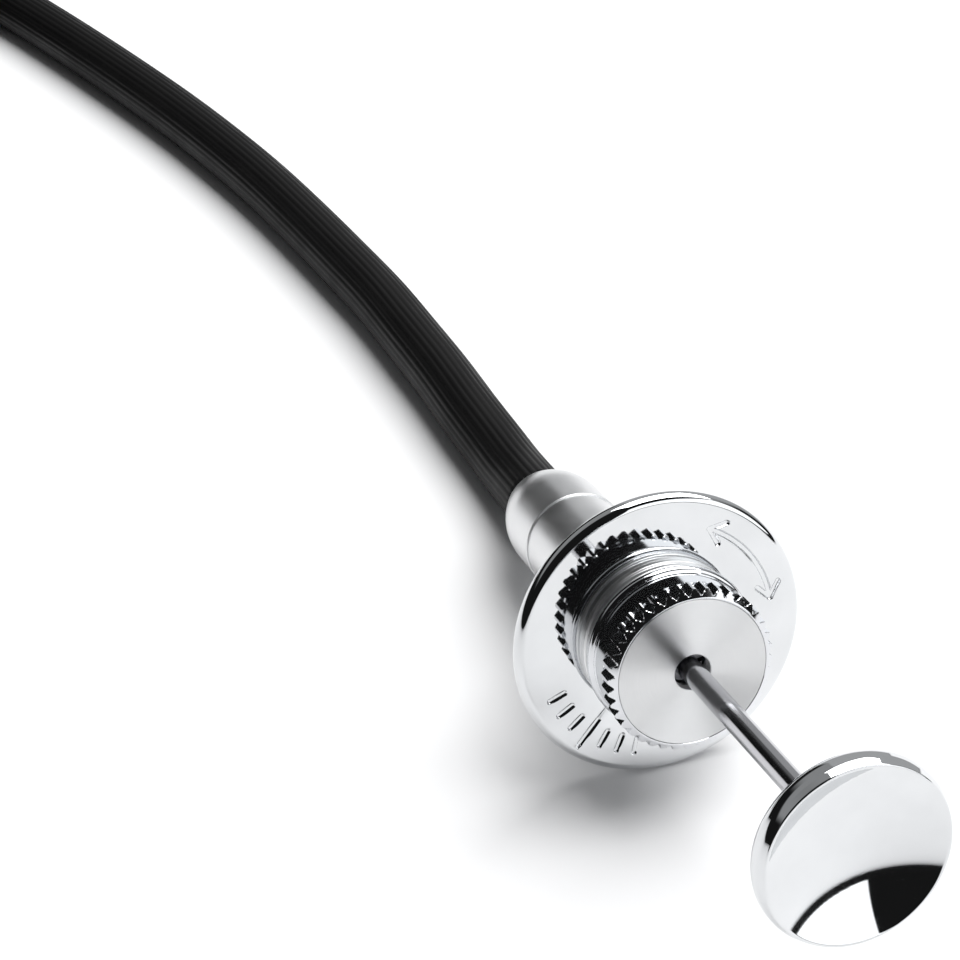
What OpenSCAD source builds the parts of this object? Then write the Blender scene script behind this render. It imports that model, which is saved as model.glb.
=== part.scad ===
// Cable shutter release: a sprung plunger head with a lock collar, a metal-cored cable and a
// tapered camera tip. The head lies on its finger flange with the thumb button raised.
// Millimetres, +Z up. The head's axis lies in the YZ plane, the button towards -Y.

/* [Head pose] */
// Angle by which the button end of the head is raised off the floor
tilt = 14.5; // [10:0.5:16]
// Where the flange face's centre stands along Y
flange_y = 2.5; // [1:0.5:4]

/* [Finger flange] */
// Radius of the finger flange
flange_r = 10; // [9:0.5:11]
// Thickness of the finger flange, which has a full round rim
flange_t = 1.2; // [1:0.1:1.6]

/* [Lock collar] */
// Crest radius of the collar's serrations
knurl_r = 5.65; // [5.4:0.05:6]
// Number of serrations
knurl_n = 40; // [30:1:48]
// Height of the collar's front face above the flange
collar_top = 5.3; // [5:0.1:6]
// Radius of the clearance hole round the plunger rod
hole_r = 1.22; // [1.1:0.02:1.4]

/* [Plunger] */
// Radius of the plunger rod
rod_r = 0.775; // [0.7:0.025:0.8]
// Radius of the thumb button
button_r = 5.9; // [5:0.1:7]
// Distance from the flange face to the back of the button
button_back = 25.7; // [24:0.1:27]
// Thickness of the button at its lip
button_t = 2.25; // [1.8:0.05:3]
// Radius of the hollow thumb face
dish_r = 11; // [10:0.5:20]

/* [Barrel] */
// Radius of the barrel behind the flange
barrel_r = 3.7; // [3.4:0.05:3.8]
// Length of the straight barrel
barrel_len = 14.8; // [14:0.1:16]
// Radius of the rear ferrule
ferrule_r = 3.8; // [3.8:0.05:4]
// Length of the rear ferrule
ferrule_len = 7.5; // [7:0.1:8]
// Length over which the rear ferrule rounds in to its mouth
taper_len = 4; // [3:0.1:5]
// Radius of the rear ferrule's mouth
mouth_r = 2.64; // [2.6:0.02:3]

/* [Cable] */
// Radius of the cable's jacket
cable_r = 2.5; // [2.3:0.1:2.6]
// Radius of the core wire
wire_r = 0.45; // [0.3:0.05:0.5]

/* [Camera tip] */
// Radius of the knurled tip nipple
nipple_r = 3.4; // [3.2:0.1:3.6]
// Length of the tapered thread
thread_len = 4.5; // [4:0.1:5]
// Radius of the release pin
pin_r = 0.65; // [0.5:0.05:0.7]

/* [Hidden] */
$fn = 96;

// Working clearances
run_gap = 0.04;
eps = 0.01;

// Head stations, measured along its axis from the flange face towards the button
flange_back = -flange_t;
barrel_back = flange_back - barrel_len;
ferrule_back = barrel_back - ferrule_len;
boss_top = 1.1;
collar_base = 1.2;
spigot_top = 3.9;
knurl_base = 3.75;
face_seat = 4.55;
jacket_seat = ferrule_back + 1.8;
seat_front = ferrule_back + taper_len;
seat_t = 0.6;

// Head radii
boss_r = 5.55;
sleeve_r = 5.45;
bead_r = 0.3;
bead_mid = 1.6;
spigot_r = 3.3;
collet_r = 1.6;
bore_r = 2;
insert_r = 4.9;
face_r = 5.15;
knurl_depth = 0.3;
knurl_chamfer = 0.35;

// Plunger
socket = 0.5;
piston_front = flange_back - 0.1;
piston_len = 2.2;
piston_bore = 1.1;
clamp_r = 1;
clamp_len = 2.5;
wire_head_len = 6.2;

// Height of the flange face's centre, with the rim standing on the floor
rim_r = flange_t / 2;
flange_z = (flange_r - rim_r) * cos(tilt) + rim_r * sin(tilt) + rim_r;
function head_point(t) = [0, flange_y - t * cos(tilt), flange_z + t * sin(tilt)];

// The free cable's centreline, from the ferrule's mouth to the coil
free_route = [
    [0, 29.5, 2.95], [-0.1, 31.5, 2.66], [-0.3, 34.5, 2.5], [-0.8, 39.5, 2.5], [-1.3, 45.5, 2.5],
    [-2, 51.5, 2.5], [-2.9, 58.5, 2.5], [-4.2, 65.5, 2.5], [-5.7, 73, 2.5], [-7.5, 81, 2.5],
    [-9.7, 89, 2.5], [-12.2, 97, 2.5], [-15.2, 105.5, 2.5], [-18.6, 114.5, 2.5],
    [-22.2, 123.5, 2.5], [-26, 132.5, 2.5], [-29.9, 141, 2.5]
];

// The coil: one turn that winds inwards, whose end climbs over its own start
coil_centre = [-57.3, 133.8];
coil_r0 = 27.5;
coil_shrink = 5;
coil_start = 29;
coil_flat = 325;
coil_end = 450;
tie_angle = 36;
tie_t = 0.5;
tip_z = 8.7;
function smooth(u) = u * u * (3 - 2 * u);
function coil_r(a) = coil_r0 - coil_shrink * (a - coil_start) / (coil_end - coil_start);
function coil_lift(a) = tie_t * pow(max(0, cos(a - tie_angle)), 4);
function coil_z(a) =
    a < coil_flat ? cable_r + (a < 140 ? coil_lift(a) : 0)
    : cable_r + (tip_z - cable_r) * smooth((a - coil_flat) / (coil_end - coil_flat));
function coil_point(a) =
    [coil_centre.x + coil_r(a) * cos(a), coil_centre.y + coil_r(a) * sin(a), coil_z(a)];

// Camera tip stations, measured along -X from the cable's end
tip_x = coil_centre.x - 1.5;
tip_y = coil_centre.y + coil_r(coil_end);
crimp_r = 3.05;
crimp_len = 8.5;
crimp_grip = 5;
nipple_base = 8.8;
nipple_len = 6.2;
thread_base = nipple_base + nipple_len;
tip_end = thread_base + thread_len;
thread_r = 1.95;
thread_tip_r = 1.35;
thread_pitch = 0.5;
guide_r = 1.15;
pin_out = 1;
pin_len = 17;
ring_r = 1.6;

function unit(v) = v / norm(v);
function tangent(p, i) = unit(p[min(i + 1, len(p) - 1)] - p[max(i - 1, 0)]);
function ring(p, i, r, n) =
    let (t = tangent(p, i), s = unit(cross(t, [0, 0, 1])), u = cross(s, t))
    [for (k = [0:n - 1]) p[i] + r * (cos(360 * k / n) * s + sin(360 * k / n) * u)];

// A round tube of n sides whose centre follows the points p
module tube(p, r, n) {
    m = len(p);
    polyhedron(
        points = [for (i = [0:m - 1]) each ring(p, i, r, n)],
        faces = concat(
            [[for (k = [0:n - 1]) k]],
            [for (i = [0:m - 2], k = [0:n - 1]) [i * n + k, (i + 1) * n + k, i * n + (k + 1) % n]],
            [for (i = [0:m - 2], k = [0:n - 1])
                [(i + 1) * n + k, (i + 1) * n + (k + 1) % n, i * n + (k + 1) % n]],
            [[for (k = [0:n - 1]) m * n - 1 - k]]
        )
    );
}

// Puts a shape drawn along +Z, the flange face at zero, onto the head's axis
module on_head() {
    translate([0, flange_y, flange_z]) rotate([90 - tilt, 0, 0]) children();
}

// Puts a shape drawn along +Z, the cable's end at zero, onto the tip's axis
module on_tip() {
    translate([tip_x, tip_y, tip_z]) rotate([0, -90, 0]) children();
}

// A plain ring from height a to height b
module sleeve(a, b, outer, inner) {
    translate([0, 0, a]) difference() {
        cylinder(r = outer, h = b - a);
        translate([0, 0, -eps]) cylinder(r = inner, h = b - a + 2 * eps);
    }
}

// A disc with a full round rim, its front face at zero
module round_rimmed_disc(r, t) {
    translate([0, 0, -t / 2]) rotate_extrude() {
        translate([0, -t / 2]) square([r - t / 2, t]);
        translate([r - t / 2, 0]) intersection() {
            circle(r = t / 2);
            translate([0, -t]) square([t, 2 * t]);
        }
    }
}

// An outline of n flat-topped teeth
module toothed_outline(n, crest_r, root_r, crest_share, root_share) {
    pitch = 360 / n;
    polygon([for (i = [0:n - 1], e = [
        [root_r, -0.5], [crest_r, -0.5 * crest_share], [crest_r, 0.5 * crest_share],
        [root_r, 0.5 - root_share]
    ]) e[0] * [cos(pitch * (i + e[1])), sin(pitch * (i + e[1]))]]);
}

// A shallow engraved arc from angle a to angle b
module engraved_arc(r, w, a, b) {
    depth = 0.15;
    translate([0, 0, -depth]) rotate([0, 0, a]) rotate_extrude(angle = b - a)
        translate([r - w / 2, 0]) square([w, 2 * depth]);
}

// A shallow engraved arrow head that points along increasing angle
module engraved_arrow(r, a, size) {
    depth = 0.15;
    rotate([0, 0, a]) translate([r, 0, -depth]) linear_extrude(2 * depth)
        polygon([[-size / 2, 0], [size / 2, 0], [0, size]]);
}

module finger_flange() {
    mark_r = 7.9;
    tick_n = 7;
    color("gainsboro") on_head() difference() {
        round_rimmed_disc(flange_r, flange_t);
        translate([0, 0, -flange_t - eps]) cylinder(r = spigot_r, h = flange_t + 2 * eps);
        translate([0, 0, -flange_t - eps]) cylinder(r = barrel_r + 0.05, h = 0.1 + eps);
        engraved_arc(mark_r, 0.35, 8, 62);
        engraved_arrow(mark_r, 62, 1.5);
        mirror([0, 1, 0]) engraved_arrow(mark_r, -8, 1.5);
        for (i = [0:tick_n - 1]) rotate([0, 0, 200 + 9 * i])
            translate([mark_r - (i == 3 ? 1.1 : 0.6), -0.15, -0.15])
                cube([i == 3 ? 2.2 : 1.2, 0.3, 0.3]);
    }
}

module collar_spigot() {
    thread_n = 4;
    color("silver") on_head() difference() {
        union() {
            translate([0, 0, flange_back]) cylinder(r = spigot_r, h = spigot_top - flange_back);
            cylinder(r = boss_r, h = boss_top);
        }
        translate([0, 0, flange_back - eps])
            cylinder(r = collet_r, h = spigot_top - flange_back + 2 * eps);
        for (i = [0:thread_n - 1]) translate([0, 0, 1.6 + 0.5 * i]) rotate_extrude()
            translate([spigot_r, 0]) circle(r = 0.12, $fn = 24);
    }
}

module split_collet() {
    slot = 0.3;
    nose = 0.5;
    color("goldenrod") on_head() difference() {
        union() {
            translate([0, 0, flange_back]) cylinder(r = collet_r, h = spigot_top - flange_back - nose);
            translate([0, 0, spigot_top - nose]) cylinder(r1 = collet_r, r2 = collet_r - 0.4, h = nose);
        }
        translate([0, 0, flange_back - eps])
            cylinder(r = rod_r + run_gap, h = spigot_top - flange_back + 2 * eps);
        for (a = [0, 90]) rotate([0, 0, a])
            translate([-collet_r - eps, -slot / 2, 1]) cube([2 * collet_r + 2 * eps, slot, spigot_top]);
    }
}

module barrel() {
    color("silver") on_head() sleeve(barrel_back, flange_back, barrel_r, bore_r);
}

module rear_ferrule() {
    drop = ferrule_r - mouth_r;
    arc_r = (drop * drop + taper_len * taper_len) / (2 * drop);
    color("silver") on_head() difference() {
        union() {
            rotate_extrude() translate([0, seat_front]) intersection() {
                translate([ferrule_r - arc_r, 0]) circle(r = arc_r, $fn = 200);
                translate([0, -taper_len]) square([ferrule_r + eps, taper_len]);
            }
            translate([0, 0, seat_front]) cylinder(r = ferrule_r, h = barrel_back - seat_front);
        }
        translate([0, 0, seat_front - seat_t]) cylinder(r = bore_r, h = 6);
        translate([0, 0, jacket_seat - eps]) cylinder(r = 1.3, h = 4);
        translate([0, 0, ferrule_back - eps]) cylinder(r = cable_r, h = jacket_seat - ferrule_back + eps);
    }
}

module spring_seat() {
    color("gray") on_head() sleeve(seat_front - seat_t, seat_front, bore_r, 0.8);
}

module return_spring() {
    turns = 9;
    wire = 0.15;
    from = piston_front - piston_len - wire;
    length = from - seat_front - wire;
    steps = 12;
    color("darkgray") on_head() tube([
        for (i = [0:turns * steps]) [
            1.5 * cos(360 * i / steps), 1.5 * sin(360 * i / steps), from - length * i / (turns * steps)
        ]
    ], wire, 6);
}

module conduit_end() {
    color("dimgray") on_head() sleeve(jacket_seat, seat_front - seat_t, 1.3, wire_r + run_gap);
}

module thumb_button() {
    edge = 1.1;
    lip = 0.3;
    dish_edge = button_r - lip - 0.1;
    color("gainsboro") on_head() translate([0, 0, button_back]) difference() {
        rotate_extrude() {
            square([button_r - edge, button_t]);
            translate([button_r - edge, edge]) intersection() {
                circle(r = edge);
                translate([0, -edge]) square([edge, edge]);
            }
            translate([0, edge]) polygon([
                [0, 0], [button_r, 0], [button_r, button_t - edge - lip],
                [button_r - lip, button_t - edge], [0, button_t - edge]
            ]);
        }
        translate([0, 0, button_t + sqrt(dish_r * dish_r - dish_edge * dish_edge)])
            sphere(r = dish_r, $fn = 200);
        translate([0, 0, -eps]) cylinder(r = rod_r, h = socket + eps);
    }
}

module plunger_rod() {
    inner = piston_front - piston_bore;
    color("silver") on_head() translate([0, 0, inner])
        cylinder(r = rod_r, h = button_back + socket - inner);
}

module guide_piston() {
    seal_w = 0.6;
    back = piston_front - piston_len;
    color("goldenrod") on_head() difference() {
        translate([0, 0, back]) cylinder(r = bore_r - run_gap, h = piston_len);
        translate([0, 0, piston_front - piston_bore]) cylinder(r = rod_r, h = piston_bore + eps);
        translate([0, 0, back - eps]) cylinder(r = clamp_r, h = piston_len - piston_bore + eps);
        translate([0, 0, back + (piston_len - seal_w) / 2]) rotate_extrude()
            translate([bore_r - 0.35, 0]) square([1, seal_w]);
    }
}

module wire_clamp() {
    top = piston_front - piston_bore;
    color("gray") on_head() sleeve(top - clamp_len, top, clamp_r, wire_r);
}

module core_wire_head() {
    top = piston_front - piston_bore;
    color("dimgray") on_head() translate([0, 0, top - wire_head_len])
        cylinder(r = wire_r, h = wire_head_len);
}

module lock_collar() {
    color("silver") on_head() difference() {
        union() {
            translate([0, 0, collar_base]) cylinder(r = sleeve_r, h = knurl_base - collar_base);
            translate([0, 0, bead_mid]) rotate_extrude()
                translate([sleeve_r, 0]) circle(r = bead_r, $fn = 32);
            translate([0, 0, knurl_base]) intersection() {
                linear_extrude(collar_top - knurl_base)
                    toothed_outline(knurl_n, knurl_r, knurl_r - knurl_depth, 0.34, 0.18);
                union() {
                    cylinder(r = knurl_r + 0.04, h = collar_top - knurl_base - knurl_chamfer);
                    translate([0, 0, collar_top - knurl_base - knurl_chamfer])
                        cylinder(r1 = knurl_r + 0.04, r2 = face_r, h = knurl_chamfer);
                }
            }
        }
        translate([0, 0, collar_base - eps]) cylinder(r = spigot_r + run_gap, h = collar_top);
        translate([0, 0, face_seat]) cylinder(r = insert_r, h = collar_top);
    }
}

module collar_face() {
    color("lightgray") on_head() sleeve(face_seat, collar_top, insert_r, hole_r);
}

module clamp_ring() {
    color("goldenrod") on_head() difference() {
        translate([0, 0, spigot_top + 0.05])
            cylinder(r = spigot_r + run_gap, h = face_seat - spigot_top - 0.05);
        translate([0, 0, spigot_top]) cylinder(r = hole_r + 0.1, h = face_seat);
    }
}

module cable_jacket() {
    color([0.05, 0.05, 0.05])
        tube(concat(
            [head_point(jacket_seat), head_point(ferrule_back)],
            free_route, [coil_point(coil_start)]
        ), cable_r, 12);
}

module cable_coil() {
    inner = coil_r(coil_flat) - cable_r;
    outer = coil_r(coil_start) + cable_r;
    color([0.05, 0.05, 0.05]) translate([coil_centre.x, coil_centre.y, cable_r]) rotate_extrude() {
        translate([inner + cable_r, 0]) circle(r = cable_r);
        translate([outer - cable_r, 0]) circle(r = cable_r);
        translate([inner + cable_r, -cable_r]) square([outer - inner - 2 * cable_r, 2 * cable_r]);
    }
}

module cable_tail() {
    steps = 16;
    color([0.05, 0.05, 0.05])
        tube(concat(
            [for (i = [0:steps]) coil_point(coil_flat + (coil_end - coil_flat) * i / steps)],
            [[tip_x, tip_y, tip_z]]
        ), cable_r, 12);
}

module coil_tie() {
    width = 4;
    low = coil_point(tie_angle);
    high = coil_point(tie_angle + 360);
    color("black") difference() {
        hull() for (p = [low, high]) translate(p) rotate([90, 0, tie_angle])
            cylinder(r = cable_r + tie_t, h = width, center = true, $fn = 32);
        hull() for (p = [low, high]) translate(p) rotate([90, 0, tie_angle])
            cylinder(r = cable_r + eps, h = width + 1, center = true, $fn = 32);
    }
}

module tip_ferrule() {
    color("silver") on_tip() difference() {
        union() {
            translate([0, 0, -crimp_grip]) cylinder(r = crimp_r, h = crimp_grip + 2.5);
            translate([0, 0, 2.5]) cylinder(r1 = crimp_r, r2 = 2.2, h = crimp_len - 2.5);
        }
        translate([0, 0, -crimp_grip - eps]) cylinder(r = cable_r, h = crimp_grip + eps);
        translate([0, 0, -1]) cylinder(r = guide_r, h = crimp_len + 2);
        for (i = [0:2]) translate([0, 0, -4 + 1.6 * i]) rotate_extrude()
            translate([crimp_r, 0]) circle(r = 0.25, $fn = 24);
    }
}

module tip_conduit_end() {
    color("dimgray") on_tip() sleeve(0, 3, guide_r, wire_r + run_gap);
}

module tip_guide() {
    color("silver") on_tip() difference() {
        translate([0, 0, 3]) cylinder(r = guide_r, h = tip_end - 0.4 - 3);
        translate([0, 0, 3 - eps]) cylinder(r = pin_r + run_gap, h = tip_end);
    }
}

module tip_retaining_ring() {
    color("gray") on_tip() sleeve(nipple_base + 1.2, nipple_base + 1.7, ring_r, guide_r);
}

module tip_nipple() {
    color("silver") on_tip() difference() {
        union() {
            translate([0, 0, nipple_base + 0.6]) linear_extrude(nipple_len - 1.2)
                toothed_outline(32, nipple_r, nipple_r - 0.3, 0.36, 0.2);
            for (a = [0, 1]) translate([0, 0, nipple_base + a * (nipple_len - 0.6)])
                cylinder(r1 = nipple_r - (a == 0 ? 0.6 : 0.1), r2 = nipple_r - (a == 0 ? 0.1 : 0.6), h = 0.6);
        }
        translate([0, 0, nipple_base - eps]) cylinder(r = guide_r + run_gap, h = nipple_len + 1);
        translate([0, 0, nipple_base + 1.1]) cylinder(r = ring_r + run_gap, h = 0.7);
    }
}

module tapered_thread() {
    ridge = 0.17;
    ridge_n = 8;
    fall = (thread_r - thread_tip_r) / thread_len;
    color("silver") on_tip() difference() {
        union() {
            translate([0, 0, thread_base])
                cylinder(r1 = thread_r - ridge, r2 = thread_tip_r - ridge, h = thread_len);
            for (i = [0:ridge_n - 1]) translate([0, 0, thread_base + thread_pitch * (i + 0.25)])
                rotate_extrude() polygon([
                    [1.2, 0], [thread_r - ridge - fall * thread_pitch * i, 0],
                    [thread_r - fall * thread_pitch * (i + 0.25), 0.2],
                    [thread_r - ridge - fall * thread_pitch * (i + 0.5), 0.4], [1.2, 0.4]
                ]);
        }
        translate([0, 0, thread_base - eps]) cylinder(r = guide_r + run_gap, h = thread_len - 0.2);
        translate([0, 0, thread_base]) cylinder(r = pin_r + 2 * run_gap, h = thread_len + 1);
    }
}

module tip_pin() {
    dome = 0.3;
    color("gainsboro") on_tip() {
        translate([0, 0, tip_end + pin_out - pin_len]) cylinder(r = pin_r, h = pin_len - dome);
        translate([0, 0, tip_end + pin_out - dome]) cylinder(r1 = pin_r, r2 = pin_r - dome, h = dome);
    }
}

module core_wire_tip() {
    back = tip_end + pin_out - pin_len;
    color("dimgray") on_tip() translate([0, 0, 1]) cylinder(r = wire_r, h = back - 1);
}

finger_flange();
collar_spigot();
split_collet();
barrel();
rear_ferrule();
spring_seat();
return_spring();
conduit_end();
thumb_button();
plunger_rod();
guide_piston();
wire_clamp();
core_wire_head();
lock_collar();
collar_face();
clamp_ring();
cable_jacket();
cable_coil();
cable_tail();
coil_tie();
tip_ferrule();
tip_conduit_end();
tip_guide();
tip_retaining_ring();
tip_nipple();
tapered_thread();
tip_pin();
core_wire_tip();
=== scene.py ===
"""Looks of a cable shutter release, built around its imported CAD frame.

Lengths are written in millimetres and turned into metres as each mesh is made. The head's pieces are
drawn on its own axis: t runs from the flange's front face towards the thumb button.
"""
import math

import bpy
import numpy as np
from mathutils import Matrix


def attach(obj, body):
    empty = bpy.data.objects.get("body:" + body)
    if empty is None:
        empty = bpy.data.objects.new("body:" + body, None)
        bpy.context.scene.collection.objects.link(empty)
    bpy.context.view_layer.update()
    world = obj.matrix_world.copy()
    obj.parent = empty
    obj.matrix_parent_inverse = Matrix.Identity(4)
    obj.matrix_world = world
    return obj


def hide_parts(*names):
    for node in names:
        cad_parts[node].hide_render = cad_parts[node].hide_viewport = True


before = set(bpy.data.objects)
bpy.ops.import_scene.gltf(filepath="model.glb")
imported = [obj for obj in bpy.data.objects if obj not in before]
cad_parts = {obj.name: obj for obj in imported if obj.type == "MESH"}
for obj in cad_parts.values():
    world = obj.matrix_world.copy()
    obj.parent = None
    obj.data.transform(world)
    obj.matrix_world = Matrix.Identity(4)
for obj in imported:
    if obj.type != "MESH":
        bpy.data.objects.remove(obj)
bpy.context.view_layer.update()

MM = 0.001
TAU = 2 * math.pi

# ---------------------------------------------------------------- the object's measures

TILT = math.radians(14.5)
FLANGE_R, FLANGE_T, FLANGE_Y = 10.0, 1.2, 2.5
BARREL_R, BARREL_BACK, FERRULE_BACK, MOUTH_R = 3.7, -16.0, -23.5, 2.64
BUTTON_R, BUTTON_BACK, DISH_R = 5.9, 25.7, 11.0
ROD_R, HOLE_R = 0.775, 1.22
CABLE_R = 2.5

RIM_R = FLANGE_T / 2
FLANGE_Z = (FLANGE_R - RIM_R) * math.cos(TILT) + RIM_R * math.sin(TILT) + RIM_R

COIL_X, COIL_Y, COIL_R0, COIL_SHRINK = -57.3, 133.8, 27.5, 5.0
COIL_START, COIL_FLAT, COIL_END, TIE_ANGLE = 29.0, 325.0, 450.0, 36.0
TIP_X, TIP_Z = COIL_X - 1.5, 8.7
TIP_Y = COIL_Y + COIL_R0 - COIL_SHRINK

# Each place is an origin and the directions of its own x, y and z
HEAD = (
    (0, FLANGE_Y, FLANGE_Z),
    ((1, 0, 0), (0, math.sin(TILT), math.cos(TILT)), (0, -math.cos(TILT), math.sin(TILT))),
)
TIP = ((TIP_X, TIP_Y, TIP_Z), ((0, 0, 1), (0, 1, 0), (-1, 0, 0)))
WORLD = ((0, 0, 0), ((1, 0, 0), (0, 1, 0), (0, 0, 1)))


def head_point(t):
    return (0.0, FLANGE_Y - t * math.cos(TILT), FLANGE_Z + t * math.sin(TILT))


# ---------------------------------------------------------------- camera

scene = bpy.context.scene
cam_data = bpy.data.cameras.new("camera")
cam_data.lens = 79.47
cam_data.sensor_width = 36
cam_data.clip_start = 0.005
cam = bpy.data.objects.new("camera", cam_data)
cam.location = (-0.0441, -0.0922, 0.1023)
cam.rotation_euler = (math.radians(90 - 37.46), 0, math.radians(-18.46))
scene.collection.objects.link(cam)
scene.camera = cam
scene.view_settings.view_transform = "Standard"

# ---------------------------------------------------------------- mesh helpers


def smooth(u):
    u = np.clip(u, 0, 1)
    return u * u * (3 - 2 * u)


def to_place(points, place, as_points=True):
    origin, axes = place
    out = np.asarray(points, float).reshape(-1, 3) @ np.asarray(axes, float)
    return (out + origin) * MM if as_points else out


def grid_mesh(name, grid, place, normals=None, close_v=False, sharp=None, v_step=None):
    """A sheet of quads over grid[row, column]; rows at one point become a fan. UVs are in millimetres."""
    rows, cols = grid.shape[:2]
    pole = [bool(np.ptp(grid[i], axis=0).max() < 1e-9) for i in range(rows)]
    index, verts, norms = [], [], []
    for i in range(rows):
        count = 1 if pole[i] else cols
        index.append([len(verts) + (0 if pole[i] else j) for j in range(cols)])
        verts.extend(grid[i, :count])
        if normals is not None:
            norms.extend(normals[i, :count])
    girth = np.linalg.norm(np.diff(grid, axis=1), axis=2).sum(axis=1).max()
    if v_step is None:
        v_step = np.concatenate([[0], np.cumsum(np.linalg.norm(grid[1:, 0] - grid[:-1, 0], axis=1))])
    faces, uvs = [], []
    for i in range(rows if close_v else rows - 1):
        k = (i + 1) % rows
        for j in range(cols):
            m = (j + 1) % cols
            ids = [index[i][j], index[i][m], index[k][m], index[k][j]]
            top = v_step[k] if k else v_step[-1] + np.linalg.norm(grid[0, 0] - grid[-1, 0])
            uv = [(j, v_step[i]), (j + 1, v_step[i]), (j + 1, top), (j, top)]
            keep = [c for c in range(4) if ids[c] != ids[c - 1]]
            if len(keep) > 2:
                faces.append([ids[c] for c in keep])
                uvs.extend((uv[c][0] / cols * girth, uv[c][1]) for c in keep)
    mesh = bpy.data.meshes.new(name)
    mesh.from_pydata(to_place(verts, place).tolist(), [], faces)
    layer = mesh.uv_layers.new(name="UVMap")
    layer.data.foreach_set("uv", np.asarray(uvs, float).ravel())
    mesh.shade_smooth()
    if sharp is not None:
        mesh.set_sharp_from_angle(angle=math.radians(sharp))
    if normals is not None:
        mesh.normals_split_custom_set_from_vertices(to_place(norms, place, False).tolist())
    mesh.update()
    ob = bpy.data.objects.new(name, mesh)
    scene.collection.objects.link(ob)
    return ob


def rounded(corners, closed=True, step=12.0):
    """Corners (r, t, radius) as a line of points with their outward normals, every corner rounded."""
    n = len(corners)
    points, norms = [], []
    for i, (r, t, f) in enumerate(corners):
        here = np.array([r, t], float)
        if not closed and i in (0, n - 1):
            d = np.subtract(corners[1 if i == 0 else i][:2], corners[0 if i == 0 else i - 1][:2])
            d = d / np.linalg.norm(d)
            points.append(here)
            norms.append(np.array([d[1], -d[0]]))
            continue
        d0 = here - np.array(corners[i - 1][:2], float)
        d1 = np.array(corners[(i + 1) % n][:2], float) - here
        l0, l1 = np.linalg.norm(d0), np.linalg.norm(d1)
        d0, d1 = d0 / l0, d1 / l1
        turn = math.atan2(d0[0] * d1[1] - d0[1] * d1[0], float(d0 @ d1))
        if abs(turn) < 1e-4:
            points.append(here)
            norms.append(np.array([d0[1], -d0[0]]))
            continue
        reach = min(f * abs(math.tan(turn / 2)), 0.49 * l0, 0.49 * l1)
        radius = reach / abs(math.tan(turn / 2))
        side = np.array([-d0[1], d0[0]]) * math.copysign(1, turn)
        centre = here - d0 * reach + side * radius
        parts = max(2, int(abs(math.degrees(turn)) / step))
        for k in range(parts + 1):
            a = turn * k / parts
            out = np.array([d0[1], -d0[0]])
            out = np.array([out[0] * math.cos(a) - out[1] * math.sin(a), out[0] * math.sin(a) + out[1] * math.cos(a)])
            points.append(centre + out * radius * math.copysign(1, turn))
            norms.append(out)
    return np.array(points), np.array(norms)


def lathe(name, corners, place, cols=160, closed=True, step=12.0):
    """A turned piece from its profile's corners."""
    points, norms = rounded(corners, closed, step)
    a = np.arange(cols) * TAU / cols
    ring = np.stack([np.cos(a), np.sin(a)], axis=1)

    def spin(p):
        return np.concatenate(
            [p[:, None, :1] * ring[None], np.broadcast_to(p[:, None, 1:2], (len(p), cols, 1))], axis=2
        )

    return grid_mesh(name, spin(points), place, spin(norms), close_v=closed)


def frames_along(path):
    """Tangent, side and up at each point of a path, without twist."""
    path = np.asarray(path, float)
    tangent = np.gradient(path, axis=0)
    tangent /= np.linalg.norm(tangent, axis=1)[:, None]
    up = np.array([0, 0, 1.0])
    ups = []
    for d in tangent:
        up = up - d * (up @ d)
        up /= np.linalg.norm(up)
        ups.append(up.copy())
    ups = np.array(ups)
    return tangent, np.cross(tangent, ups), ups


def spline(points, spacing):
    """Catmull-Rom curve through the points, re-spaced evenly."""
    p = np.asarray(points, float)
    p = np.vstack([2 * p[0] - p[1], p, 2 * p[-1] - p[-2]])
    knots = np.concatenate([[0], np.cumsum(np.sqrt(np.linalg.norm(np.diff(p, axis=0), axis=1)))])
    out = []
    for i in range(1, len(p) - 2):
        t0, t1, t2, t3 = knots[i - 1 : i + 3]
        for t in np.linspace(t1, t2, 16, endpoint=False):
            a1 = (t1 - t) / (t1 - t0) * p[i - 1] + (t - t0) / (t1 - t0) * p[i]
            a2 = (t2 - t) / (t2 - t1) * p[i] + (t - t1) / (t2 - t1) * p[i + 1]
            a3 = (t3 - t) / (t3 - t2) * p[i + 1] + (t - t2) / (t3 - t2) * p[i + 2]
            b1 = (t2 - t) / (t2 - t0) * a1 + (t - t0) / (t2 - t0) * a2
            b2 = (t3 - t) / (t3 - t1) * a2 + (t - t1) / (t3 - t1) * a3
            out.append((t2 - t) / (t2 - t1) * b1 + (t - t1) / (t2 - t1) * b2)
    out = np.array(out + [p[-2]])
    along = np.concatenate([[0], np.cumsum(np.linalg.norm(np.diff(out, axis=0), axis=1))])
    count = max(2, int(round(along[-1] / spacing)))
    where = np.linspace(0, along[-1], count + 1)
    return np.stack([np.interp(where, along, out[:, k]) for k in range(3)], axis=1)


def tube(name, path, radius, cols, place=WORLD, sharp=None):
    """A round tube along a path; radius(angles, along) may vary, and both ends are closed."""
    tangent, side, ups = frames_along(path)
    along = np.concatenate([[0], np.cumsum(np.linalg.norm(np.diff(path, axis=0), axis=1))])
    a = np.arange(cols) * TAU / cols
    rows = []
    for i, p in enumerate(path):
        r = radius(a, along[i]) if callable(radius) else np.full(cols, radius)
        rows.append(p + r[:, None] * (np.cos(a)[:, None] * ups[i] - np.sin(a)[:, None] * side[i]))
    rows = [np.broadcast_to(path[0], (cols, 3))] + rows + [np.broadcast_to(path[-1], (cols, 3))]
    step = np.concatenate([[0], along + radius_of(radius), [along[-1] + 2 * radius_of(radius)]])
    return grid_mesh(name, np.array(rows), place, v_step=step, sharp=sharp)


def radius_of(radius):
    return float(np.max(radius(np.zeros(1), 0))) if callable(radius) else float(radius)


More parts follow.
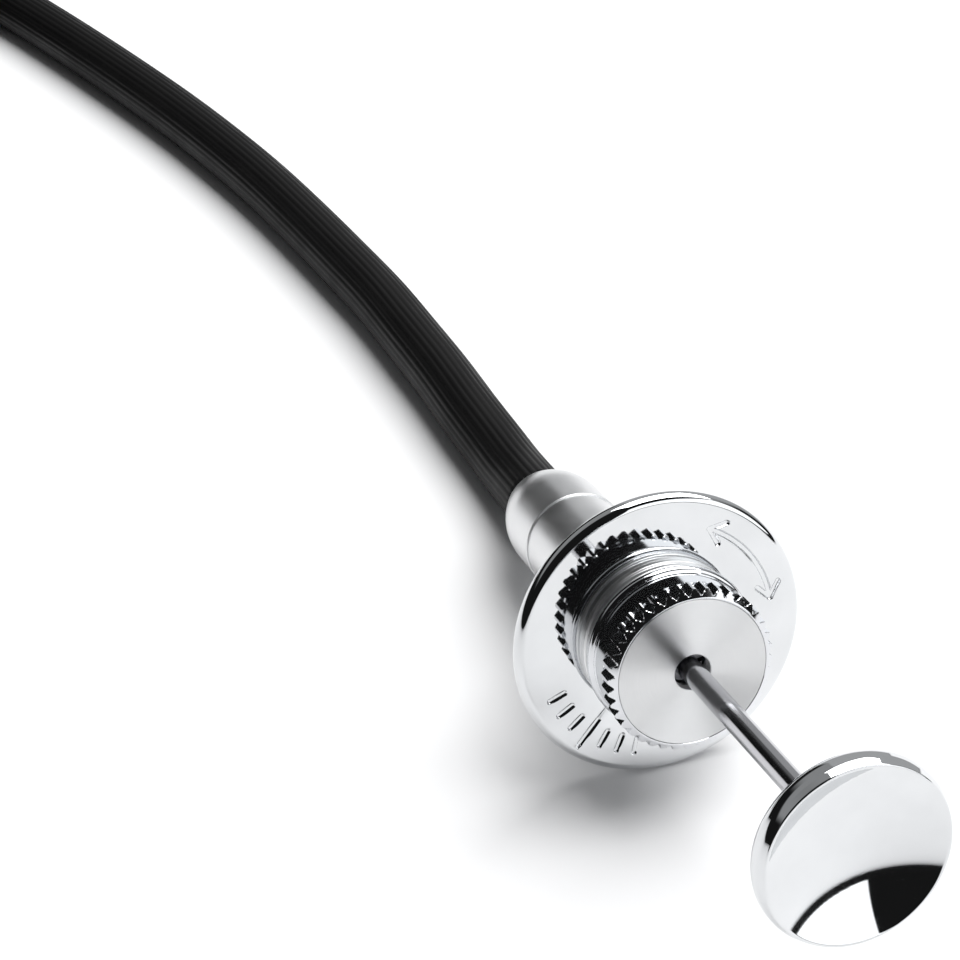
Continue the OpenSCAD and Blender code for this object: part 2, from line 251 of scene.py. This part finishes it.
# ---------------------------------------------------------------- the cable's route

FREE_ROUTE = [
    (0, 29.5, 2.95), (-0.1, 31.5, 2.66), (-0.3, 34.5, 2.5), (-0.8, 39.5, 2.5), (-1.3, 45.5, 2.5),
    (-2, 51.5, 2.5), (-2.9, 58.5, 2.5), (-4.2, 65.5, 2.5), (-5.7, 73, 2.5), (-7.5, 81, 2.5),
    (-9.7, 89, 2.5), (-12.2, 97, 2.5), (-15.2, 105.5, 2.5), (-18.6, 114.5, 2.5),
    (-22.2, 123.5, 2.5), (-26, 132.5, 2.5), (-29.9, 141, 2.5),
]


def coil_point(deg):
    a = math.radians(deg)
    r = COIL_R0 - COIL_SHRINK * (deg - COIL_START) / (COIL_END - COIL_START)
    z = CABLE_R
    if deg < 140:
        z += 0.5 * max(0, math.cos(a - math.radians(TIE_ANGLE))) ** 4
    if deg > COIL_FLAT:
        z += (TIP_Z - CABLE_R) * float(smooth((deg - COIL_FLAT) / (COIL_END - COIL_FLAT)))
    return (COIL_X + r * math.cos(a), COIL_Y + r * math.sin(a), z)


route = [head_point(FERRULE_BACK), *FREE_ROUTE]
route += [coil_point(COIL_START + (COIL_END - COIL_START) * k / 36) for k in range(37)]
route += [(TIP_X, TIP_Y, TIP_Z)]
cable_path = spline(route, 0.9)
RIBS = 28


def ribbed(a, along):
    return CABLE_R - 0.05 * (0.5 + 0.5 * np.cos(RIBS * a)) ** 2


cable = tube("cable", cable_path, ribbed, RIBS * 6)

# ---------------------------------------------------------------- the head


def polar(cols):
    a = np.arange(cols) * TAU / cols
    return np.cos(a), np.sin(a)


def stroke_gap(x, y, start, end):
    """Distance from points to a straight stroke."""
    (x0, y0), (x1, y1) = start, end
    dx, dy = x1 - x0, y1 - y0
    k = np.clip(((x - x0) * dx + (y - y0) * dy) / (dx * dx + dy * dy), 0, 1)
    return np.hypot(x - x0 - k * dx, y - y0 - k * dy)


MARK_R = 7.9


def engraving(x, y):
    """Depth of the generic marks on the flange: a double-ended turn arrow and a row of ticks."""
    r, a = np.hypot(x, y), np.degrees(np.arctan2(y, x)) % 360
    lo, hi = 8, 62
    gap = np.where((a > lo) & (a < hi), abs(r - MARK_R), 9.0)
    for end, way in ((lo, -1), (hi, 1)):
        e = math.radians(end)
        tip = np.array([math.cos(e), math.sin(e)]) * MARK_R
        ahead = np.array([-math.sin(e), math.cos(e)]) * way
        out = np.array([math.cos(e), math.sin(e)])
        for side in (-1, 1):
            back = tip - ahead * 1.0 + out * side * 0.75
            gap = np.minimum(gap, stroke_gap(x, y, tip, back))
    for i in range(7):
        e = math.radians(200 + 9 * i)
        half = 1.0 if i == 3 else 0.55
        d = np.array([math.cos(e), math.sin(e)])
        gap = np.minimum(gap, stroke_gap(x, y, d * (MARK_R - half), d * (MARK_R + half)))
    return 0.13 * (1 - smooth((gap - 0.1) / 0.12))


def make_flange():
    cols = 720
    bore = 3.3
    outline = [(bore, -FLANGE_T, 0.05), (FLANGE_R, -FLANGE_T, RIM_R), (FLANGE_R, 0, RIM_R), (bore, 0, 0.05)]
    rows_p, rows_n = rounded(outline, step=9)
    flat = [i for i in range(len(rows_p)) if rows_p[i][1] > -1e-6 and rows_p[i][0] > 9]
    at = flat[-1] + 1
    ring = np.linspace(9.0, 6.8, 38)
    rows_p = np.vstack([rows_p[:at], np.stack([ring, 0 * ring], axis=1), rows_p[at:]])
    rows_n = np.vstack([rows_n[:at], np.tile([0.0, 1.0], (len(ring), 1)), rows_n[at:]])
    c, s = polar(cols)
    grid = np.stack([rows_p[:, :1] * c, rows_p[:, :1] * s, np.repeat(rows_p[:, 1:2], cols, axis=1)], axis=2)
    norm = np.stack([rows_n[:, :1] * c, rows_n[:, :1] * s, np.repeat(rows_n[:, 1:2], cols, axis=1)], axis=2)
    part = slice(at, at + len(ring))
    x, y, e = grid[part, :, 0], grid[part, :, 1], 0.01
    grid[part, :, 2] -= engraving(x, y)
    gx = (engraving(x + e, y) - engraving(x - e, y)) / (2 * e)
    gy = (engraving(x, y + e) - engraving(x, y - e)) / (2 * e)
    bent = np.stack([gx, gy, np.ones_like(gx)], axis=2)
    norm[part] = bent / np.linalg.norm(bent, axis=2)[:, :, None]
    return grid_mesh("flange", grid, HEAD, norm, close_v=True)


def toothed(name, corners, place, teeth, crest, root, per_tooth=12, flat=0.26, sharp=24):
    """A turned piece whose corners marked 1 are cut back to straight V teeth."""
    rows = np.array([c[:2] for c in corners], float)
    cut = np.array([c[2] for c in corners], float)
    cols = teeth * per_tooth
    k = (np.arange(cols) % per_tooth + 0.5) / per_tooth
    away = np.clip((abs(k - 0.5) * 2 - flat) / (0.9 - flat), 0, 1)
    tooth = crest - (crest - root) * away
    c, s = polar(cols)
    r = np.where(cut[:, None] > 0.5, np.minimum(rows[:, :1], tooth[None]), rows[:, :1])
    grid = np.stack([r * c, r * s, np.repeat(rows[:, 1:2], cols, axis=1)], axis=2)
    return grid_mesh(name, grid, place, close_v=True, sharp=sharp)


def arc_line(cx, cy, radius, start, end, count):
    return [
        (cx + radius * math.cos(math.radians(a)), cy + radius * math.sin(math.radians(a)))
        for a in np.linspace(start, end, count)
    ]


def make_lock_collar():
    sleeve, crest, root = 5.45, 5.66, 5.3
    line = [(3.34, 1.25, 0), (3.39, 1.2, 0), (5.35, 1.2, 0), (5.4, 1.22, 0), (sleeve, 1.28, 0), (sleeve, 1.3, 0)]
    line += [(r, t, 0) for r, t in arc_line(sleeve, 1.6, 0.3, -80, 80, 13)]
    line += [(sleeve, 1.95, 0), (sleeve, 2.05, 0), (5.38, 2.1, 0), (5.38, 2.3, 0), (sleeve, 2.35, 0), (sleeve, 2.45, 0)]
    line += [(sleeve, 3.45, 0), (sleeve, 3.55, 0), (5.3, 3.62, 0), (5.3, 3.74, 0)]
    line += [(crest - 0.08, 3.75, 1), (crest, 3.83, 1), (crest, 4.2, 1), (crest, 4.6, 1), (crest, 4.94, 1)]
    line += [(crest - (crest - 5.16) * k / 8, 4.94 + 0.35 * k / 8, 1) for k in range(1, 9)]
    line += [(5.13, 5.3, 0), (5.08, 5.3, 0), (5.06, 5.28, 0), (5.05, 5.22, 0), (5.05, 4.55, 0), (3.34, 4.55, 0)]
    return toothed("lock_collar_look", line, HEAD, 40, crest, root)


def make_button():
    lip_r, lip_t = 5.62, 27.95
    dish_edge = lip_r - 0.14
    centre_t = lip_t + math.sqrt(DISH_R**2 - dish_edge**2)
    steep = math.degrees(math.asin(dish_edge / DISH_R))
    side = [
        (0, BUTTON_BACK, 0), (3.2, BUTTON_BACK, 3), (4.9, BUTTON_BACK + 0.12, 2.0), (5.62, BUTTON_BACK + 0.55, 1.0),
        (BUTTON_R, 26.75, 1.6), (5.86, 27.45, 0.8), (lip_r, lip_t, 0.12),
    ]
    dish = [
        (DISH_R * math.sin(math.radians(a)), centre_t - DISH_R * math.cos(math.radians(a)), 9)
        for a in np.linspace(steep, 0, 26)
    ]
    dish[-1] = (0, centre_t - DISH_R, 0)
    return lathe("button", side + dish, HEAD, cols=256, closed=False, step=6)


def make_ferrule():
    full_r, full_t = 3.8, FERRULE_BACK + 4
    drop, run = full_r - MOUTH_R, full_t - FERRULE_BACK
    bulge = (drop * drop + run * run) / (2 * drop)
    outer = []
    for k in range(13):
        t = FERRULE_BACK + 0.12 + (run - 0.12) * k / 12
        outer.append((full_r - bulge + math.sqrt(bulge**2 - (full_t - t) ** 2), t, 40))
    outer.append((full_r, BARREL_BACK, 0.08))
    line = [(2.52, FERRULE_BACK + 0.1, 0.08), (MOUTH_R - 0.04, FERRULE_BACK, 0.07)] + outer
    line += [(2.0, BARREL_BACK, 0.05), (2.0, -20.1, 0.05), (1.3, -20.1, 0.05)]
    line += [(1.3, -21.7, 0.05), (2.52, -21.7, 0.05)]
    return lathe("ferrule", line, HEAD, cols=192, step=10)


flange = make_flange()
button = make_button()
lock_collar = make_lock_collar()
ferrule = make_ferrule()
spigot = lathe("spigot", [
    (1.6, -1.2, 0.04), (3.3, -1.2, 0.04), (3.3, 0.0, 0.02), (5.55, 0.0, 0.02), (5.55, 0.38, 0.06), (5.42, 0.48, 0.05),
    (5.42, 0.62, 0.05), (5.55, 0.72, 0.06), (5.55, 1.1, 0.08), (3.3, 1.1, 0.03), (3.3, 3.9, 0.1), (1.6, 3.9, 0.04),
], HEAD, cols=192)
face = lathe("collar_front", [
    (HOLE_R, 4.55, 0.05), (5.03, 4.55, 0.05), (5.04, 5.3, 0.04), (HOLE_R, 5.3, 0.09),
], HEAD, cols=192)
barrel = lathe("barrel_look", [
    (2.0, BARREL_BACK, 0.04), (BARREL_R, BARREL_BACK, 0.05), (BARREL_R, -1.35, 0.05),
    (BARREL_R - 0.1, -1.2, 0.05), (2.0, -1.2, 0.04),
], HEAD, cols=192)
rod = lathe("rod", [
    (0, -2.4, 0), (ROD_R, -2.4, 0.1), (ROD_R, 26.2, 0.1), (0, 26.2, 0),
], HEAD, cols=96, closed=False)

# ---------------------------------------------------------------- the camera tip


def make_tip_ferrule():
    line = [(1.15, 8.5, 0.05), (1.15, 0, 0.04), (2.52, 0, 0.05), (2.52, -5, 0.08), (3.05, -5, 0.14)]
    for s in (-4.0, -2.4, -0.8):
        line += [(3.05, s - 0.3, 0.12), (2.82, s, 0.14), (3.05, s + 0.3, 0.12)]
    line += [(3.05, 2.5, 1.5), (2.35, 7.4, 1.2), (2.2, 8.5, 0.12)]
    return lathe("tip_ferrule_look", line, TIP, cols=144)


def make_nipple():
    base, top, crest, root = 8.8, 15.0, 3.4, 3.12
    line = [(1.19, base + 0.05, 0), (1.24, base, 0), (2.5, base, 0), (2.6, base + 0.02, 0), (2.62, base + 0.5, 0)]
    line += [(2.9, base + 0.55, 1), (crest, base + 1.0, 1), (crest, base + 2.2, 1), (crest, base + 3.4, 1)]
    line += [(crest, top - 1.05, 1), (3.02, top - 0.62, 1)]
    line += [(2.98, top - 0.6, 0), (2.7, top - 0.55, 0), (2.62, top - 0.45, 0)]
    line += [(2.62, top - 0.08, 0), (2.55, top, 0), (1.24, top, 0), (1.19, top - 0.05, 0)]
    line += [(1.19, base + 1.8, 0), (1.64, base + 1.8, 0), (1.64, base + 1.1, 0), (1.19, base + 1.1, 0)]
    return toothed("nipple_look", line, TIP, 32, crest, root)


def make_thread():
    """A tapered thread cut as a true helix, with a plain nose."""
    base, length, pitch, depth, cols = 15.0, 4.5, 0.5, 0.19, 96
    s = np.linspace(0, length, 91)
    a = np.arange(cols) / cols
    phase = (s[:, None] / pitch - a[None]) % 1
    ridge = np.clip(1.25 - 2.5 * abs(phase - 0.5), 0, 1)
    outer = 1.95 - (1.95 - 1.37) * s / length
    fade = smooth(s / 0.5) * smooth((length - 0.35 - s) / 0.4)
    r = outer[:, None] - depth * (1 - ridge * fade[:, None])
    c, n = polar(cols)

    def ring(radius, t):
        return np.stack([radius * c, radius * n, np.full(cols, t)], axis=1)

    rows = [ring(1.19, base), *(ring(r[i], base + s[i]) for i in range(len(s)))]
    rows += [ring(1.02, base + length), ring(0.73, base + length), ring(0.73, base + length - 0.25)]
    rows += [ring(1.19, base + length - 0.25)]
    return grid_mesh("thread_look", np.array(rows), TIP, close_v=True, sharp=40)


tip_ferrule = make_tip_ferrule()
nipple = make_nipple()
thread = make_thread()
pin = lathe("pin_look", [
    (0, 3.5, 0), (0.65, 3.5, 0.05), (0.65, 20.5, 0.28), (0, 20.5, 0),
], TIP, cols=64, closed=False)

# ---------------------------------------------------------------- the strap round the coil


def make_tie():
    low, high = np.array(coil_point(TIE_ANGLE)), np.array(coil_point(TIE_ANGLE + 360))
    a = math.radians(TIE_ANGLE)
    out, along = np.array([math.cos(a), math.sin(a), 0]), np.array([-math.sin(a), math.cos(a), 0])
    up = np.array([0, 0, 1.0])
    place = (tuple(low), (tuple(out), tuple(up), tuple(along)))
    gap = np.array([(high - low) @ out, (high - low) @ up])
    heading = math.degrees(math.atan2(gap[1], gap[0]))
    radius, thick, half = CABLE_R + 0.26, 0.2, 2.0
    around = [(heading + k * 10, gap) for k in range(-9, 10)]
    around += [(heading + 90 + k * 10, gap * 0) for k in range(0, 19)]
    norm = np.array([(math.cos(math.radians(d)), math.sin(math.radians(d))) for d, _ in around])
    path = np.array([centre for _, centre in around]) + radius * norm
    section = [(-thick, -half + 0.15), (-thick, half - 0.15), (-thick + 0.12, half), (thick - 0.12, half)]
    section += [(thick, half - 0.15), (thick, half - 0.5), (thick, -half + 0.5), (thick, -half + 0.15)]
    section += [(thick - 0.12, -half), (-thick + 0.12, -half)]
    section = section[::-1]
    grid = np.array([[(*(p + n * off), w) for off, w in section] for p, n in zip(path, norm)])
    return grid_mesh("tie_look", grid, place, close_v=True, sharp=30)


tie = make_tie()

# ---------------------------------------------------------------- what each piece is

PIECES = [
    (flange, "root", "mirror_chrome", ["finger_flange"]),
    (spigot, "root", "satin_nickel", ["collar_spigot"]),
    (barrel, "root", "satin_nickel", ["barrel"]),
    (ferrule, "root", "satin_nickel", ["rear_ferrule"]),
    (button, "plunger", "mirror_chrome", ["thumb_button"]),
    (rod, "plunger", "mirror_chrome", ["plunger_rod"]),
    (lock_collar, "collar", "dark_plating", ["lock_collar"]),
    (face, "collar", "turned_aluminium", ["collar_face"]),
    (cable, "root", "cable_cover", ["cable_jacket", "cable_coil", "cable_tail"]),
    (tie, "root", "tie_strap", ["coil_tie"]),
    (tip_ferrule, "root", "satin_nickel", ["tip_ferrule"]),
    (nipple, "nipple", "dark_plating", ["tip_nipple"]),
    (thread, "nipple", "satin_nickel", ["tapered_thread"]),
    (pin, "pin", "mirror_chrome", ["tip_pin"]),
]
for piece, body, slot, nodes in PIECES:
    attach(piece, body)
    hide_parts(*nodes)

# ---------------------------------------------------------------- materials


class Nodes:
    """A small builder for one material's node tree."""

    def __init__(self, name):
        self.material = bpy.data.materials.new(name)
        self.material.use_nodes = True
        self.tree = self.material.node_tree
        self.shader = self.tree.nodes["Principled BSDF"]

    def add(self, kind, **inputs):
        node = self.tree.nodes.new(kind)
        for key, value in inputs.items():
            if key in node.bl_rna.properties and not key[0].isupper():
                setattr(node, key, value)
            else:
                self.put(node.inputs[key.replace("_", " ")], value)
        return node

    def put(self, socket, value):
        if isinstance(value, bpy.types.NodeSocket):
            self.tree.links.new(value, socket)
        else:
            socket.default_value = value

    def set(self, **inputs):
        for key, value in inputs.items():
            self.put(self.shader.inputs[key.replace("_", " ")], value)

    def spread(self, value, low, high):
        """Maps a noise value, which is mostly between 0.3 and 0.7, onto a range."""
        node = self.add("ShaderNodeMapRange", Value=value)
        node.inputs["From Min"].default_value, node.inputs["From Max"].default_value = 0.3, 0.7
        node.inputs["To Min"].default_value, node.inputs["To Max"].default_value = low, high
        return node.outputs["Result"]

    def noise(self, vector, scale, detail=3.0):
        node = self.add("ShaderNodeTexNoise", Scale=scale, Detail=detail)
        self.put(node.inputs["Vector"], vector)
        return node.outputs["Fac"]

    def stretched(self, vector, x, y, z=1.0):
        node = self.add("ShaderNodeMapping")
        self.put(node.inputs["Vector"], vector)
        node.inputs["Scale"].default_value = (x, y, z)
        return node.outputs["Vector"]

    def bump(self, height, strength, distance, under=None):
        node = self.add("ShaderNodeBump", Height=height, Strength=strength, Distance=distance)
        if under is not None:
            self.put(node.inputs["Normal"], under)
        return node.outputs["Normal"]


def shade(colour, amount):
    """A darker and a lighter colour, this far on either side."""
    return tuple(c * (1 - amount) for c in colour) + (1,), tuple(min(1, c * (1 + amount)) for c in colour) + (1,)


def metal(name, colour, rough, vary=0.03, turned=0.0, lines=18.0, scratch=0.15, grain=0.0, anisotropic=0.0):
    """Bare or plated metal: cloudy handling marks, hair scratches and, where turned is set, tool marks."""
    m = Nodes(name)
    where = m.add("ShaderNodeTexCoord")
    body = where.outputs["Object"]
    cloud = m.noise(body, 260, 4)
    fine = m.noise(body, 2600, 2)
    dark, light = shade(colour, 0.04)
    tint = m.add("ShaderNodeMix", data_type="RGBA")
    m.put(tint.inputs["Factor"], m.spread(cloud, 0, 1))
    m.put(tint.inputs["A"], dark)
    m.put(tint.inputs["B"], light)
    m.set(Base_Color=tint.outputs["Result"], Metallic=1.0)
    rough_from = m.add("ShaderNodeMath", operation="ADD")
    m.put(rough_from.inputs[0], m.spread(cloud, rough - vary / 2, rough + vary))
    m.put(rough_from.inputs[1], m.spread(fine, 0, vary / 2))
    m.set(Roughness=rough_from.outputs["Value"])
    normal = None
    if scratch:
        hair = m.noise(m.stretched(body, 900, 9000, 2500), 1.0, 1)
        normal = m.bump(hair, scratch, 0.0000012, normal)
    if turned:
        marks = m.noise(m.stretched(where.outputs["UV"], 0.012, lines), 1.0, 4)
        normal = m.bump(marks, turned, 0.00001, normal)
    if grain:
        normal = m.bump(m.noise(body, 9000, 2), grain, 0.00001, normal)
    if normal is not None:
        m.set(Normal=normal)
    if anisotropic:
        m.set(Anisotropic=anisotropic, Anisotropic_Rotation=0.25)
        tangent = m.add("ShaderNodeTangent", direction_type="UV_MAP", uv_map="UVMap")
        m.set(Tangent=tangent.outputs["Tangent"])
    return m.material


def cover():
    """Semi-matt black sheath with faint lengthwise ribs, a little dusty along their crests."""
    m = Nodes("cable_sheath")
    where = m.add("ShaderNodeTexCoord")
    body = where.outputs["Object"]
    grain = m.noise(body, 3500, 4)
    cloud = m.noise(body, 180, 3)
    weave = m.noise(m.stretched(where.outputs["UV"], 3.2, 0.16), 1.0, 3)
    tint = m.add("ShaderNodeMix", data_type="RGBA")
    m.put(tint.inputs["Factor"], m.spread(weave, 0, 1))
    m.put(tint.inputs["A"], (0.0016, 0.0016, 0.0018, 1))
    m.put(tint.inputs["B"], (0.004, 0.0038, 0.0038, 1))
    m.set(Base_Color=tint.outputs["Result"], Roughness=m.spread(cloud, 0.42, 0.56))
    normal = m.bump(weave, 0.35, 0.00004)
    m.set(Normal=m.bump(grain, 0.3, 0.00002, normal))
    m.shader.inputs["Specular IOR Level"].default_value = 0.16
    return m.material


def strap():
    m = Nodes("strap_black")
    where = m.add("ShaderNodeTexCoord")
    cloth = m.noise(m.stretched(where.outputs["UV"], 6, 6), 1.0, 2)
    tint = m.add("ShaderNodeMix", data_type="RGBA")
    m.put(tint.inputs["Factor"], m.spread(cloth, 0, 1))
    m.put(tint.inputs["A"], (0.012, 0.012, 0.013, 1))
    m.put(tint.inputs["B"], (0.03, 0.03, 0.032, 1))
    m.set(
        Base_Color=tint.outputs["Result"], Roughness=m.spread(cloth, 0.6, 0.75), Normal=m.bump(cloth, 0.4, 0.00005)
    )
    return m.material


chrome = metal("chrome_mirror", (0.72, 0.73, 0.74), 0.03, vary=0.02, scratch=0.02)
rod_chrome = metal("chrome_rod", (0.55, 0.55, 0.57), 0.1, vary=0.03, scratch=0.03, turned=0.02, lines=6)
satin = metal("nickel_satin", (0.78, 0.785, 0.79), 0.3, vary=0.05, scratch=0.0, turned=0.08, lines=8)
plated = metal("plating_dark", (0.7, 0.71, 0.73), 0.07, vary=0.03, scratch=0.0, turned=0.006, lines=5)
turned_face = metal(
    "aluminium_turned", (0.7, 0.705, 0.71), 0.36, vary=0.05, scratch=0.0, turned=0.9, lines=6, anisotropic=0.92
)
brass = metal("brass_machined", (0.78, 0.6, 0.3), 0.24, grain=0.1)
spring = metal("steel_spring", (0.55, 0.56, 0.58), 0.25, grain=0.1)
wire = metal("steel_strand", (0.42, 0.42, 0.44), 0.35, grain=0.3)
plain = metal("nickel_plain", (0.8, 0.81, 0.82), 0.2, grain=0.05)

LOOKS = [
    (chrome, [flange, button, pin]), (rod_chrome, [rod]), (satin, [spigot, barrel, ferrule, tip_ferrule, thread]),
    (plated, [lock_collar, nipple]), (turned_face, [face]), (cover(), [cable]), (strap(), [tie]),
    (brass, ["guide_piston", "wire_clamp"]),
    (spring, ["return_spring", "tip_retaining_ring"]),
    (wire, ["split_collet", "clamp_ring", "conduit_end", "core_wire_head", "tip_conduit_end", "core_wire_tip"]),
    (plain, ["spring_seat", "tip_guide"]),
]
for material, things in LOOKS:
    for thing in things:
        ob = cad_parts[thing] if isinstance(thing, str) else thing
        ob.data.materials.clear()
        ob.data.materials.append(material)

# ---------------------------------------------------------------- floor, light and surroundings

FLOOR_HALF = 3.0
corners = [(x * FLOOR_HALF, y * FLOOR_HALF, 0) for x, y in ((-1, -1), (1, -1), (1, 1), (-1, 1))]
floor_mesh = bpy.data.meshes.new("floor")
floor_mesh.from_pydata(corners, [], [(0, 1, 2, 3)])
floor = bpy.data.objects.new("floor", floor_mesh)
scene.collection.objects.link(floor)
paper = Nodes("paper")
paper_where = paper.add("ShaderNodeTexCoord").outputs["Object"]
paper.set(Base_Color=(0.93, 0.93, 0.935, 1), Roughness=paper.spread(paper.noise(paper_where, 40), 0.6, 0.7))
paper.shader.inputs["Specular IOR Level"].default_value = 0.2
floor_mesh.materials.append(paper.material)


def softbox(name, place, aim, size, power):
    data = bpy.data.lights.new(name, "AREA")
    data.shape, data.size, data.size_y, data.energy = "RECTANGLE", size[0], size[1], power
    lamp = bpy.data.objects.new(name, data)
    lamp.location = place
    away = np.subtract(place, aim)
    away = away / np.linalg.norm(away)
    side = np.cross((0, 0, 1), away)
    side = side / np.linalg.norm(side)
    up = np.cross(away, side)
    lamp.rotation_euler = (
        math.atan2(up[2], away[2]), math.asin(-side[2]), math.atan2(side[1], side[0])
    )
    scene.collection.objects.link(lamp)


softbox("key", (0.34, 0.12, 0.8), (0, 0.02, 0), (0.8, 0.8), 10.6)

world = bpy.data.worlds.new("studio")
scene.world = world
world.use_nodes = True
tree = world.node_tree
background = tree.nodes["Background"]
direction = tree.nodes.new("ShaderNodeTexCoord").outputs["Generated"]
split = tree.nodes.new("ShaderNodeSeparateXYZ")
tree.links.new(direction, split.inputs[0])


def w_math(operation, a, b=None):
    node = tree.nodes.new("ShaderNodeMath")
    node.operation = operation
    for socket, value in zip(node.inputs, (a, b)):
        if isinstance(value, bpy.types.NodeSocket):
            tree.links.new(value, socket)
        elif value is not None:
            socket.default_value = value
    return node.outputs[0]


def w_step(value, low, high):
    node = tree.nodes.new("ShaderNodeMapRange")
    node.interpolation_type = "SMOOTHSTEP"
    tree.links.new(value, node.inputs["Value"])
    node.inputs["From Min"].default_value, node.inputs["From Max"].default_value = low, high
    return node.outputs["Result"]


def w_both(a, b):
    return w_math("MULTIPLY", a, b)


def w_most(a, b):
    return w_math("MAXIMUM", a, b)


def w_between(value, low, low_full, high_full, high):
    """One from low_full to high_full, falling to nought at low and high."""
    return w_both(w_step(value, low, low_full), w_step(value, high, high_full))


# Azimuth is nought towards -Y, where the camera is, and grows towards +X; height is a sine
DOME, DOME_FALL, BACK_RIGHT, WINDOW = 0.3, 0.29, 0.45, 1.6
azimuth = w_math("ARCTAN2", split.outputs["X"], w_both(split.outputs["Y"], -1.0))
height = split.outputs["Z"]

# The dark room: low in front, round the camera, and a low band that the pale back right breaks
front_low = w_both(w_between(azimuth, -1.3, -1.1, 1.3, 1.5), w_step(height, 0.56, 0.5))
sideways = w_math("ADD", w_both(split.outputs["Y"], -0.72), w_both(height, 0.65))
round_camera = w_step(w_math("ADD", w_both(split.outputs["X"], -0.25), sideways), 0.5, 0.66)
back_right = w_between(azimuth, 1.5, 1.8, 3.0, 3.1)
low_band = w_both(w_step(height, 0.5, 0.34), w_math("SUBTRACT", 1.0, back_right))
dark = w_most(w_most(front_low, round_camera), low_band)

# The bright window that the hollow button shows
window = w_both(w_between(azimuth, 0.2, 0.22, 1.18, 1.2), w_between(height, 0.06, 0.07, 0.58, 0.6))
dome = w_math("SUBTRACT", DOME, w_both(dark, DOME_FALL))
level = w_most(w_most(dome, w_both(back_right, BACK_RIGHT)), w_both(window, WINDOW))
tree.links.new(level, background.inputs["Strength"])
background.inputs["Color"].default_value = (0.97, 0.985, 1.0, 1)
